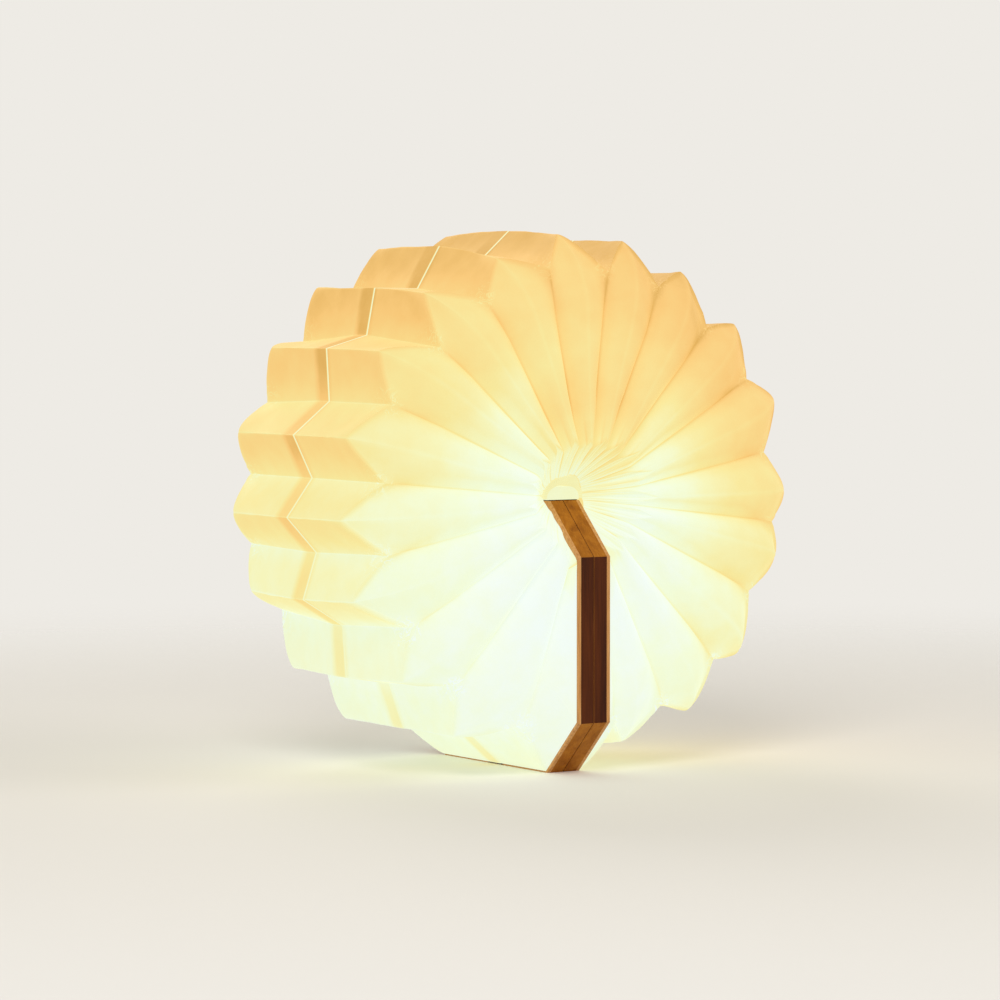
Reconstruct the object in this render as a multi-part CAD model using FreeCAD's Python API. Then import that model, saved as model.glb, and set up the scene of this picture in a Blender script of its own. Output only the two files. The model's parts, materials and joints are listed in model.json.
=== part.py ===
import FreeCAD, Part
import math
import os

# Pleated paper book lamp, stood open: two wooden covers back to back carry a paper
# bellows that fans round the spine into a wheel. Millimetres. +Z is up, +Y runs along
# the spine away from the viewer, and X runs across the two covers. The origin is the
# middle of the fore-edges, which the lamp stands on.

# ---- covers -----------------------------------------------------------------------
cover_width = 170.0          # spine edge to fore-edge, upright here
cover_length = 192.0         # along the spine
liner_thickness = 2.4        # board that closes the pocket and carries the paper
cover_gap = 0.2              # between the outer faces of the two covers
chamfer_along = 35.0         # corner cut, measured along the spine direction
chamfer_out = 33.5           # corner cut, measured from spine to fore-edge
arris_round = 0.5            # rounding of the outer faces' edges

# ---- spine ------------------------------------------------------------------------
closed_gap = 8.0             # room for the folded paper between the closed covers
strip_thickness = 2.4
strip_end_gap = 1.0          # strip to the start of the cover's corner cut
tape_thickness = 0.4
tape_width = 6.0
hinge_clearance = 0.1        # strip above the tape
web_rise = 7.0               # top of the paper web above the hinge lines
web_thickness = 0.5
web_clearance = 0.5          # web inside the liners' faces, above the wood and past the strip
web_corner = 6.0             # rounding of the web's long edges

# ---- paper ------------------------------------------------------------------------
paper_thickness = 0.2
paper_inset = 4.7            # rim of the paper inside the cover's fore-edge
paper_end_inset = 1.0        # faces and end pleats inside the cover's edges
paper_corner = 29.0          # mountain creases' rim corners, in from the faces
valley_rim_depth = 17.5      # valley crease below the mountain crease at the rim
valley_corner_depth = 21.5   # the same at the valley's sharp corner
valley_face_depth = 9.0      # valley crease below the mountain crease on the faces
lap_width = 14.0             # overlap of the two half-sheets round the rim
puff = 2.4                   # swell of each leaf on the faces
puff_ends = 0.6              # share of the swell at each end of a face
glue_flange = 8.0            # strip of the end pleats glued to the liner
hub_margin = 2.6             # pleats' inner ends outside the liners' faces
valley_run = 17.5            # where the valleys run out, outside the pleats' inner ends
crease_fade = 3.6            # shortest stretch that closes a crease on the hub
liner_clearance = 0.8        # pleats off the liner near the hub
left_angles = [-150.0, -131.5, -111.5, -93.5, -76.0, -56.0, -38.5, -20.0, -2.0]
right_angles = [15.0, 32.5, 50.0, 69.0, 89.5, 104.5, 127.0, 145.5, 164.5]
rim_stations = 3             # each half's rim points: lap end, lap start and corner
face_steps = 4               # bands of facets between the two corner cuts
coincident = 1e-6            # points nearer than this are one

# ---- hub gather -------------------------------------------------------------------
gather_gap = 0.6             # inside the pleats' inner ends
gather_thickness = 0.3
gather_spread = 92.0         # half angle of the arch
gather_creases = 18
gather_crease_depth = 0.6
gather_end_radius = 9.0      # where its end cones stop
gather_end_gap = 1.5         # from there to the ends of the web

# ---- pocket and charging ----------------------------------------------------------
pocket_skin = 2.6            # wood left between the pocket or recess and the outer face
pocket_room = 1.5            # over the tallest piece in the pocket
pocket_side_room = 10.0      # at each end of the battery
pocket_top_room = 15.4       # above the battery
pocket_floor = 11.0          # pocket's lower edge above the fore-edge
pocket_corner = 5.0
recess_margin = 0.8          # recess past the indicator's hole
recess_depth = 4.6
liner_notch = 1.0            # height of the recess where it shows in the liner
board_thickness = 1.2
board_length = 64.0
board_width = 26.0
board_standoff = 0.9         # board off the pocket's floor
board_edge_gap = 0.6         # board to the pocket's lower edge
nose_side = 0.4              # board's nose beside the socket that it carries
socket_width = 8.9
socket_height = 3.2
socket_length = 7.3
socket_shell = 0.3
socket_corner = 1.1
tongue_thickness = 0.7
tongue_gap = 0.6             # tongue inside the shell
fit_clearance = 0.15         # small parts in their holes
indicator_radius = 1.0
indicator_gap = 0.9          # wood between the socket's opening and the indicator's
screw_radius = 1.0
screw_bite = 1.6             # screws' depth in the wood
screw_head_radius = 1.9
screw_head_height = 1.0
screw_edge = 3.2             # screw centre to the board's edges
battery_thickness = 5.0
battery_length = 92.0
battery_width = 56.0
battery_corner = 2.5
battery_gap = 6.0            # above the board
sensor_size = 3.0
sensor_height = 1.1
sensor_offset = -16.0        # along the board from its middle, like the next two
controller_offset = 8.0
driver_offset = 21.0
chip_size = 5.0
chip_height = 1.0
driver_width = 4.0
capacitor_length = 1.3
capacitor_width = 2.5
capacitor_height = 0.8
capacitor_pitch = 3.0
capacitor_gap = 2.2          # above the chips
capacitor_count = 4

# ---- magnets ----------------------------------------------------------------------
magnet_radius = 4.0
magnet_thickness = 3.0
magnet_skin = 1.4            # wood left outside each magnet
magnet_wall = 6.85           # wood between the pocket and the magnets' holes
magnet_low = 28.0            # lower magnets above the fore-edge
magnet_high = 22.0           # upper magnets below the spine edge
trigger_radius = 3.0
trigger_thickness = 2.0

# ---- lights -----------------------------------------------------------------------
led_drop = 62.0              # hub to the middle of the LED boards
led_board_length = 116.0
led_board_width = 9.0
led_board_thickness = 1.0
led_count = 12
led_length = 3.5
led_width = 2.8
led_height = 0.8
bar_height = 3.2             # frosted light bar above the liner
bar_width = 13.0
bar_wall = 1.0
lead_width = 5.0
lead_thickness = 0.3
lead_tail = 6.0              # each lead's end under its LED board
lead_joint = 4.0             # where the ribbon and a lead are soldered face to face
lead_groove = 0.9            # groove for the lead in the wood
ribbon_leg = 10.0            # ribbon down inside each cover
ribbon_slit = 0.9            # half the slit for the ribbon in each tape

# ---- places worked out from the sizes ----------------------------------------------
wall_in = cover_gap / 2
board_stack = board_standoff + board_thickness + socket_height
pocket_depth = max(board_stack, fit_clearance + battery_thickness) + pocket_room
pocket_length = max(battery_length, board_length) + 2 * pocket_side_room
pocket_width = board_edge_gap + board_width + battery_gap + battery_width + pocket_top_room
cover_thickness = pocket_skin + pocket_depth
wood_face = wall_in + cover_thickness
paper_face = wood_face + liner_thickness
half_length = cover_length / 2
spine_end = half_length - chamfer_along
hinge_radius = strip_thickness / 2
hub_height = cover_width + tape_thickness + hinge_clearance + hinge_radius
hinge_inset = (2 * paper_face - closed_gap) / 4
hinge_line = paper_face - hinge_inset
strip_half = spine_end - strip_end_gap
web_end = strip_half + web_clearance + web_thickness
mountain_radius = hub_height - paper_inset
paper_face_depth = half_length - paper_end_inset
edge_radius = hub_height - paper_end_inset
hub_top = hub_height - cover_width + paper_end_inset
hub_radius = paper_face + hub_margin
hub_valley_radius = hub_radius + valley_run
pocket_bottom = wood_face - pocket_depth
board_back = pocket_bottom + board_standoff
board_top = board_back + board_thickness
board_low = pocket_floor + board_edge_gap
board_high = board_low + board_width
board_middle = (board_low + board_high) / 2
nose_half = socket_width / 2 + nose_side
socket_low = recess_depth + fit_clearance
socket_high = socket_low + socket_length
socket_middle = board_top + socket_height / 2
indicator_hole = indicator_radius + fit_clearance
indicator_offset = nose_half + fit_clearance + indicator_gap + indicator_hole
recess_length = 2 * (indicator_offset + indicator_hole + recess_margin)
magnet_hole = magnet_radius + fit_clearance
magnet_column = pocket_length / 2 + magnet_wall + magnet_hole
led_middle = hub_height - led_drop
led_low = led_middle - led_board_width / 2
led_high = led_middle + led_board_width / 2


def box(x_range, y_range, z_range):
    """A block between two limits on each axis, given in either order."""
    low = [min(r) for r in (x_range, y_range, z_range)]
    size = [max(r) - min(r) for r in (x_range, y_range, z_range)]
    return Part.makeBox(size[0], size[1], size[2], FreeCAD.Vector(*low))


def disc(radius, x_range, y, z):
    """A round plug along X."""
    start = FreeCAD.Vector(min(x_range), y, z)
    return Part.makeCylinder(radius, max(x_range) - min(x_range), start, FreeCAD.Vector(1, 0, 0))


def rounded_block(x_range, y_range, z_range, radius):
    """A block whose four edges along X are rounded."""
    block = box(x_range, y_range, z_range)
    edges = [e for e in block.Edges if abs(e.tangentAt(e.FirstParameter).x) > 0.9]
    return block.makeFillet(radius, edges)


def mirrored(shape):
    """The same piece on the other side of the lamp's middle plane."""
    return shape.mirror(FreeCAD.Vector(0, 0, 0), FreeCAD.Vector(1, 0, 0))


def save(name, shape):
    shape.exportStep("parts/" + name + ".step")


# ---- covers and liners -------------------------------------------------------------

def cover_plate(x_inner, x_outer):
    """The covers' eight-sided outline between two planes across X."""
    corners = [
        (-spine_end, 0), (spine_end, 0),
        (half_length, chamfer_out), (half_length, cover_width - chamfer_out),
        (spine_end, cover_width), (-spine_end, cover_width),
        (-half_length, cover_width - chamfer_out), (-half_length, chamfer_out),
    ]
    points = [FreeCAD.Vector(x_inner, y, z) for y, z in corners]
    outline = Part.makePolygon(points + points[:1])
    return Part.Face(outline).extrude(FreeCAD.Vector(x_outer - x_inner, 0, 0))


def rounded_arrises(plate):
    """Softens the edges of the outer face, which meets the other cover."""
    edges = [e for e in plate.Edges if all(abs(v.X + wall_in) < coincident for v in e.Vertexes)]
    return plate.makeFillet(arris_round, edges)


def magnet_places():
    """Centres of one cover's four magnets, as Y and Z."""
    rows = (magnet_low, cover_width - magnet_high)
    return [(y, z) for y in (-magnet_column, magnet_column) for z in rows]


def wooden_cover(groove_low):
    """A cover with its magnet holes and a groove for the flat leads, on the left side."""
    cover = rounded_arrises(cover_plate(-wood_face, -wall_in))
    hole_end = wall_in + magnet_skin
    for y, z in magnet_places():
        cover = cover.cut(disc(magnet_hole, (-wood_face, -hole_end), y, z))
    groove = lead_width / 2 + fit_clearance
    groove_floor = -(wood_face - lead_groove)
    return cover.cut(box((-wood_face, groove_floor), (-groove, groove), (groove_low, cover_width)))


def left_cover():
    """The left cover also holds the electronics and the charging recess."""
    pocket = rounded_block((-wood_face, -pocket_bottom),
                           (-pocket_length / 2, pocket_length / 2),
                           (pocket_floor, pocket_floor + pocket_width), pocket_corner)
    cover = wooden_cover(board_high).cut(pocket)
    for hollow in (charging_recess(), socket_opening(), pilot_holes()):
        cover = cover.cut(hollow)
    return cover


def charging_recess():
    """A notch in the wood's fore-edge, as deep as a plug's grip needs."""
    return box((-wood_face, -pocket_bottom),
               (-recess_length / 2, recess_length / 2), (0, recess_depth))


def liner_recess():
    """The lower stretch of the same notch, which runs on through the liner."""
    return box((-paper_face, -wood_face), (-recess_length / 2, recess_length / 2), (0, liner_notch))


def socket_opening():
    """From the recess to the pocket: a slot for the board's nose and socket, and a round
    hole for the indicator."""
    far = board_top + socket_height + fit_clearance
    half_width = nose_half + fit_clearance
    slot = box((-far, -(board_back - fit_clearance)), (-half_width, half_width),
               (recess_depth, pocket_floor))
    guide = Part.makeCylinder(indicator_hole, pocket_floor - recess_depth,
                              FreeCAD.Vector(-socket_middle, indicator_offset, recess_depth))
    return slot.fuse(guide)


def pilot_holes():
    """Holes in the pocket's floor for the board screws."""
    end = pocket_bottom - screw_bite - fit_clearance
    radius = screw_radius + fit_clearance
    return Part.makeCompound([disc(radius, (-pocket_bottom, -end), y, z) for y, z in board_corners()])


def trigger_pocket():
    """The right cover's hole for the magnet that the lid sensor feels."""
    return disc(trigger_radius + fit_clearance,
                (-wood_face, -(wood_face - trigger_thickness - fit_clearance)),
                sensor_place()[0], sensor_place()[1])


def liner():
    """The thin board over the pocket, on the left side. A slit passes the LED lead's end,
    and a groove in its back holds the ribbon's leg."""
    board = cover_plate(-paper_face, -wood_face)
    across = (-lead_width / 2 - fit_clearance, lead_width / 2 + fit_clearance)
    slit = box((-paper_face, -wood_face), across, (led_low, led_low + lead_tail))
    groove_floor = -(wood_face + lead_thickness + fit_clearance)
    groove = box((groove_floor, -wood_face), across, (cover_width - ribbon_leg, cover_width))
    return board.cut(slit).cut(groove)


# ---- spine -------------------------------------------------------------------------

def spine_strip():
    """A flat strip with rounded long edges, whose centres are the two hinge lines."""
    body = box((-hinge_line, hinge_line), (-strip_half, strip_half),
               (hub_height - hinge_radius, hub_height + hinge_radius))
    for x in (-hinge_line, hinge_line):
        start = FreeCAD.Vector(x, -strip_half, hub_height)
        edge = Part.makeCylinder(hinge_radius, 2 * strip_half, start, FreeCAD.Vector(0, 1, 0))
        body = body.fuse(edge)
    return body.removeSplitter()


def hinge_tape():
    """Tape along the left cover's top edge, under the hinge line, slit for the ribbon."""
    start = -hinge_line - tape_width / 2
    tape = box((start, start + tape_width), (-strip_half, strip_half),
               (cover_width, cover_width + tape_thickness))
    across = lead_width / 2 + fit_clearance
    return tape.cut(box((-wood_face - ribbon_slit, -wood_face + ribbon_slit), (-across, across),
                        (cover_width, cover_width + tape_thickness)))


def spine_web():
    """Thin paper folded over the strip from one cover to the other, and closed at its ends."""
    top = hub_height + web_rise

    def hood(inset):
        half = paper_face - web_clearance - inset
        half_long = web_end - inset
        height = (cover_width + web_clearance, top - inset)
        block = box((-half, half), (-half_long, half_long), height)
        edges = [e for e in block.Edges if all(abs(v.Z - top + inset) < coincident for v in e.Vertexes)
                 and abs(e.tangentAt(e.FirstParameter).y) > 0.9]
        return block.makeFillet(web_corner - inset, edges)

    return hood(0).cut(hood(web_thickness))


def spine_ribbon():
    """Flat cable over the strip, with a leg down into each cover."""
    outer_half = wood_face + lead_thickness
    low = cover_width - ribbon_leg + fit_clearance
    bridge_low = hub_height + hinge_radius + hinge_clearance
    across = (-lead_width / 2, lead_width / 2)
    bridge = box((-outer_half, outer_half), across, (bridge_low, bridge_low + lead_thickness))
    for side in (-1, 1):
        leg = box((side * wood_face, side * outer_half), across, (low, bridge_low))
        bridge = bridge.fuse(leg)
    return bridge.removeSplitter()


# ---- paper -------------------------------------------------------------------------

def polar(angle, radius, depth):
    """A point round the hub. Angles run clockwise from straight up, seen from the front."""
    turn = math.radians(angle)
    return FreeCAD.Vector(radius * math.sin(turn), depth, hub_height + radius * math.cos(turn))


def inner_end(angle, least):
    """How near the hub the paper comes at an angle, without touching the covers."""
    if abs(angle) <= 90:
        return least
    return max(least, (paper_face + liner_clearance) / abs(math.sin(math.radians(angle))))


def dish_start(angle):
    """Where the dish round the hub begins. Against the covers it follows their corner cut."""
    reach = paper_face + liner_clearance
    if abs(angle) <= 90:
        return hub_top + reach * abs(math.sin(math.radians(angle)))
    return hub_top + reach * math.tan(math.radians(180 - abs(angle)) / 2)


def cone_depth(angle, radius):
    """The corner cut at the spine, which dishes the wheel's face round the hub."""
    rise = (radius - dish_start(angle)) / chamfer_out
    return paper_face_depth - chamfer_along * max(0.0, 1 - rise)


def ridge_stations(rim, corner, angle, last, inset):
    """A ridge of the near half, from the lap to the hub, as radius and depth."""
    face_start = rim - chamfer_out
    face_end = max(dish_start(angle) + chamfer_out, last + crease_fade)
    stations = [(rim - inset, lap_width / 2), (rim - inset, -lap_width / 2)]
    stations.append((rim - inset, -(paper_face_depth - corner)))
    for step in range(face_steps + 1):
        radius = face_start + (face_end - face_start) * step / face_steps
        stations.append((radius, -(paper_face_depth - inset)))
    stations.append((last, -(cone_depth(angle, last) - inset)))
    return stations


def mountain_stations(angle, inset):
    """A pleat's mountain crease."""
    last = inner_end(angle, hub_radius)
    return ridge_stations(mountain_radius, paper_corner, angle, last, inset)


def edge_stations(last, inset):
    """The cover's outline inside its edges, which the end pleats follow."""
    return ridge_stations(edge_radius, chamfer_along, 180.0, last, inset)


def valley_stations(angle, inset):
    """The valley crease beside it, station for station. Its corner is sharp."""
    rim = mountain_radius - valley_rim_depth - inset
    corner = mountain_radius - valley_corner_depth - inset
    depth = paper_face_depth - valley_face_depth
    last = inner_end(angle, hub_radius)
    face_end = max(hub_valley_radius, last + crease_fade)
    stations = [(rim, lap_width / 2), (rim, -lap_width / 2), (corner, -(depth - inset))]
    for step in range(face_steps + 1):
        radius = corner + (face_end - corner) * step / face_steps
        stations.append((radius, -(min(depth, cone_depth(angle, radius)) - inset)))
    stations.append((last, -(cone_depth(angle, last) - inset)))
    return stations


def puff_at(station):
    """Swell of the leaf at each station: none on the rim or the hub, full on the faces."""
    ends = (rim_stations, rim_stations + face_steps)
    if station < ends[0] or station > ends[1]:
        return 0.0
    return puff * puff_ends if station in ends else puff


def leaf_row(mountain, valley, swell, towards_valley):
    """Three points from one crease to the other, the middle one swelling outwards."""
    middle = (mountain + valley) * 0.5 + FreeCAD.Vector(0, -swell, 0)
    return [mountain, middle, valley] if towards_valley else [valley, middle, mountain]


def pleat_grid(angle, valleys, inset):
    """Points of one pleat's near half: a row of five across it at each station."""
    ridge = mountain_stations(angle, inset)
    sides = [valley_stations(v, inset) for v in valleys]
    grid = []
    for i, (radius, depth) in enumerate(ridge):
        top = polar(angle, radius, depth)
        left = polar(valleys[0], *sides[0][i])
        right = polar(valleys[1], *sides[1][i])
        row = leaf_row(top, left, puff_at(i), False)
        row += leaf_row(top, right, puff_at(i), True)[1:]
        grid.append(row)
    return grid


def end_grid(side, valley, inset):
    """Points of an end pleat's near half: a row of three from its valley to its flange.
    The leaf stops where its valley runs out against the cover."""
    ridge = edge_stations(inner_end(valley, hub_radius), inset)
    hollow = valley_stations(valley, inset)
    plane = side * (paper_face + paper_thickness)
    grid = []
    for i, (radius, depth) in enumerate(ridge):
        edge = FreeCAD.Vector(plane, depth, hub_height - radius)
        grid.append(leaf_row(edge, polar(valley, *hollow[i]), puff_at(i), False))
    return grid


def end_flange(side):
    """Flat strip glued to the liner, on which the end pleat's leaves stand."""
    outer = []
    inner = []
    for station, (radius, depth) in enumerate(edge_stations(hub_radius, -paper_thickness)):
        on_rim = station < rim_stations
        y = min(depth, 0.0)
        z = hub_height - radius
        outer.append(FreeCAD.Vector(side * paper_face, y, z))
        inner.append(FreeCAD.Vector(side * paper_face, y if on_rim else y + glue_flange,
                                    z + glue_flange if on_rim else z))
    ring = outer + inner[::-1]
    strip = Part.Face(Part.makePolygon(ring + ring[:1]))
    near = strip.extrude(FreeCAD.Vector(side * paper_thickness, 0, 0))
    far = near.mirror(FreeCAD.Vector(0, 0, 0), FreeCAD.Vector(0, 1, 0))
    return near.fuse(far).removeSplitter()


def end_pleat(side, valley):
    """The two half-sheets' last leaves and their flange."""
    leaves = two_halves(lambda inset: end_grid(side, valley, inset))
    return Part.makeCompound(leaves.Solids + end_flange(side).Solids)


def panel(corners):
    """The flat faces through three or four corners: none where they run together, else
    a triangle or a pair of them."""
    unique = []
    for corner in corners:
        if all(corner.distanceToPoint(other) > coincident for other in unique):
            unique.append(corner)
    triangles = [(unique[0], unique[i], unique[i + 1]) for i in range(1, len(unique) - 1)]
    return [Part.Face(Part.makePolygon([a, b, c, a])) for a, b, c in triangles]


def sheet_solid(outer, inner):
    """A thin sheet as a closed solid, between two grids of matching points."""
    faces = []
    rows = len(outer)
    columns = len(outer[0])
    for i in range(rows - 1):
        for j in range(columns - 1):
            for grid in (outer, inner):
                faces += panel([grid[i][j], grid[i][j + 1], grid[i + 1][j + 1], grid[i + 1][j]])
        for j in (0, columns - 1):
            faces += panel([outer[i][j], outer[i + 1][j], inner[i + 1][j], inner[i][j]])
    for i in (0, rows - 1):
        for j in range(columns - 1):
            faces += panel([outer[i][j], outer[i][j + 1], inner[i][j + 1], inner[i][j]])
    shell = Part.Shell(faces)
    shell.sewShape()
    solid = Part.Solid(shell)
    if solid.Volume < 0:
        solid.reverse()
    return solid


def other_half(grid):
    """The same points on the far side of the lamp's mid-depth."""
    return [[FreeCAD.Vector(p.x, -p.y, p.z) for p in row] for row in grid]


def two_halves(grid_at):
    """Near and far half-sheets. The far one is larger by one paper, so it laps outside."""
    near = sheet_solid(grid_at(0.0), grid_at(paper_thickness))
    far = sheet_solid(other_half(grid_at(-paper_thickness)), other_half(grid_at(0.0)))
    return Part.makeCompound([near, far])


def cover_angle(side):
    """The angle of the cover's paper face at the rim."""
    return side * (180 - math.degrees(math.asin(paper_face / mountain_radius)))


def valley_angles():
    """Valleys lie half way between neighbouring mountains, and between them and the covers."""
    stops = [cover_angle(-1)] + left_angles + right_angles + [cover_angle(1)]
    return [(a + b) / 2 for a, b in zip(stops, stops[1:])]


def hub_gather():
    """The paper's inner edge, drawn together in an arch of fine creases over the spine."""
    radius = hub_radius - gather_gap
    tip = web_end + gather_end_gap
    stations = [(gather_end_radius, -1), (radius, -1), (radius, 1), (gather_end_radius, 1)]
    steps = 2 * gather_creases
    run = radius - gather_end_radius

    def grid(inset):
        rows = []
        for r, side in stations:
            row = []
            for step in range(steps + 1):
                angle = -gather_spread + 2 * gather_spread * step / steps
                fall = max(0.0, cone_depth(angle, radius) - tip)
                miter = (math.hypot(run, fall) + fall) / run
                depth = tip + (fall if r == radius else 0.0) - miter * inset
                crease = gather_crease_depth * (step % 2) * r / radius
                row.append(polar(angle, r - inset - crease, side * depth))
            rows.append(row)
        return rows

    return sheet_solid(grid(0.0), grid(gather_thickness))


# ---- electronics -------------------------------------------------------------------

def board_corners():
    """Centres of the four board screws, as Y and Z."""
    y = board_length / 2 - screw_edge
    return [(s * y, z) for s in (-1, 1) for z in (board_low + screw_edge, board_high - screw_edge)]


def sensor_place():
    """Middle of the lid sensor on the board, as Y and Z."""
    return sensor_offset, board_middle


def control_board():
    """The board, with a nose that carries the socket out to the recess."""
    thickness = (-board_top, -board_back)
    board = box(thickness, (-board_length / 2, board_length / 2), (board_low, board_high))
    board = board.fuse(box(thickness, (-nose_half, nose_half), (socket_low, board_low)))
    board = board.removeSplitter()
    for y, z in board_corners():
        board = board.cut(disc(screw_radius + fit_clearance, (-wood_face, 0), y, z))
    return board


def board_screws():
    """Four pan-head screws through the board into the wood."""
    screws = []
    for y, z in board_corners():
        head = disc(screw_head_radius, (-(board_top + screw_head_height), -board_top), y, z)
        shank = disc(screw_radius, (-board_top, -(pocket_bottom - screw_bite)), y, z)
        screws.append(head.fuse(shank).removeSplitter())
    return Part.makeCompound(screws)


def board_spacers():
    """Four small collars that hold the board off the pocket's floor."""
    rings = []
    for y, z in board_corners():
        span = (-board_back, -pocket_bottom)
        ring = disc(screw_head_radius, span, y, z)
        rings.append(ring.cut(disc(screw_radius + fit_clearance, span, y, z)))
    return Part.makeCompound(rings)


def on_board(y, z, length, width, height):
    """A block soldered on the board's face."""
    return box((-(board_top + height), -board_top),
               (y - length / 2, y + length / 2), (z - width / 2, z + width / 2))


def board_chips():
    """Charge controller, light driver and a row of small capacitors."""
    chips = [on_board(controller_offset, board_middle, chip_size, chip_size, chip_height),
             on_board(driver_offset, board_middle, chip_size, driver_width, chip_height)]
    row = board_middle + chip_size / 2 + capacitor_gap + capacitor_width / 2
    for count in range(capacitor_count):
        y = (count - (capacitor_count - 1) / 2) * capacitor_pitch
        chips.append(on_board(y, row, capacitor_length, capacitor_width, capacitor_height))
    return Part.makeCompound(chips)


def charging_socket():
    """The metal shell, open towards the recess."""

    def sleeve(inset, high):
        half = socket_width / 2 - inset
        block = box((-(board_top + socket_height - inset), -(board_top + inset)),
                    (-half, half), (socket_low, high))
        edges = [e for e in block.Edges if abs(e.tangentAt(e.FirstParameter).z) > 0.9]
        return block.makeFillet(socket_corner - inset, edges)

    return sleeve(0, socket_high).cut(sleeve(socket_shell, socket_high - socket_shell))


def socket_tongue():
    """The contact tongue inside the shell."""
    half = socket_width / 2 - socket_shell - tongue_gap
    half_thickness = tongue_thickness / 2
    return box((-(socket_middle + half_thickness), -(socket_middle - half_thickness)),
               (-half, half), (socket_low + tongue_gap, socket_high - socket_shell))


def indicator_light():
    """A clear guide from the board to the recess's roof, lit while the battery charges."""
    return Part.makeCylinder(indicator_radius, pocket_floor - recess_depth,
                             FreeCAD.Vector(-socket_middle, indicator_offset, recess_depth))


def battery():
    low = board_high + battery_gap
    x_range = (-(pocket_bottom + fit_clearance + battery_thickness), -(pocket_bottom + fit_clearance))
    return rounded_block(x_range, (-battery_length / 2, battery_length / 2),
                         (low, low + battery_width), battery_corner)


def battery_lead():
    """The short flat lead from the battery down to the board's face."""
    return box((-board_top - lead_thickness, -board_top), (lead_width, 2 * lead_width),
               (board_high - screw_edge, board_high + battery_gap))


def board_lead():
    """Flat lead from the board out to the liner's back and up to the left LED lead."""
    across = (-lead_width / 2, lead_width / 2)
    foot = box((-board_top - lead_thickness, -board_top), across, (board_high - screw_edge, board_high))
    riser = box((-wood_face, -board_top), across, (board_high, board_high + lead_thickness))
    run = box((-wood_face, -wood_face + lead_thickness), across, (board_high, led_low + fit_clearance))
    return foot.fuse(riser).fuse(run).removeSplitter()


def magnets():
    span = (-(wall_in + magnet_skin + magnet_thickness), -(wall_in + magnet_skin))
    return Part.makeCompound([disc(magnet_radius, span, y, z) for y, z in magnet_places()])


def trigger_magnet():
    y, z = sensor_place()
    return disc(trigger_radius, (-wood_face, -(wood_face - trigger_thickness)), y, z)


# ---- lights ------------------------------------------------------------------------

def led_board():
    """The strip board that carries one cover's LEDs, stuck to the liner."""
    half = led_board_length / 2
    return box((-(paper_face + led_board_thickness), -paper_face), (-half, half), (led_low, led_high))


def leds():
    pitch = led_board_length / led_count
    foot = paper_face + led_board_thickness
    chips = []
    for count in range(led_count):
        y = -led_board_length / 2 + pitch * (count + 0.5)
        chips.append(box((-(foot + led_height), -foot), (y - led_length / 2, y + led_length / 2),
                         (led_middle - led_width / 2, led_middle + led_width / 2)))
    return Part.makeCompound(chips)


def light_bar():
    """A frosted cover over the LEDs: a rounded bar, hollow underneath."""
    far = -(paper_face + bar_height)

    def bar(inset):
        half_long = led_board_length / 2 + fit_clearance + bar_wall - inset
        half_wide = bar_width / 2 - inset
        return box((far + inset, -paper_face), (-half_long, half_long),
                   (led_middle - half_wide, led_middle + half_wide))

    outer = bar(0)
    edges = [e for e in outer.Edges if all(abs(v.X - far) < coincident for v in e.Vertexes)]
    return outer.makeFillet(bar_wall, edges).cut(bar(bar_wall))


def led_lead():
    """Flat lead behind the liner, from the ribbon to the back of the LED board."""
    across = (-lead_width / 2, lead_width / 2)
    low = led_low + fit_clearance
    top = cover_width - ribbon_leg + fit_clearance + lead_joint
    run = box((-wood_face, -wood_face + lead_thickness), across, (low, top))
    tail = box((-paper_face, -wood_face), across, (low, led_low + lead_tail - fit_clearance))
    return run.fuse(tail).removeSplitter()


# ---- the lamp ----------------------------------------------------------------------

def build():
    os.makedirs("parts", exist_ok=True)
    save("left_cover", left_cover())
    save("right_cover", mirrored(wooden_cover(led_low).cut(trigger_pocket())))
    save("left_liner", liner().cut(liner_recess()))
    save("right_liner", mirrored(liner()))
    for name, make in (("hinge_tape", hinge_tape), ("magnets", magnets), ("led_board", led_board),
                       ("leds", leds), ("light_bar", light_bar), ("led_lead", led_lead)):
        piece = make()
        save("left_" + name, piece)
        save("right_" + name, mirrored(piece))
    for make in (spine_strip, spine_web, spine_ribbon, hub_gather, control_board, board_screws,
                 board_spacers, board_chips, charging_socket, socket_tongue, indicator_light,
                 battery, battery_lead, board_lead):
        save(make.__name__, make())
    save("lid_sensor", on_board(*sensor_place(), sensor_size, sensor_size, sensor_height))
    save("trigger_magnet", mirrored(trigger_magnet()))
    valleys = valley_angles()
    for count, angle in enumerate(left_angles + right_angles):
        beside = (valleys[count], valleys[count + 1])
        name = "pleat_%02d" % (count + 1)
        save(name, two_halves(lambda inset: pleat_grid(angle, beside, inset)))
    save("left_end_pleat", end_pleat(-1, valleys[0]))
    save("right_end_pleat", end_pleat(1, valleys[-1]))


build()
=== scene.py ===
import json
import math

import bmesh
import bpy
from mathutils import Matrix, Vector, noise


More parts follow.
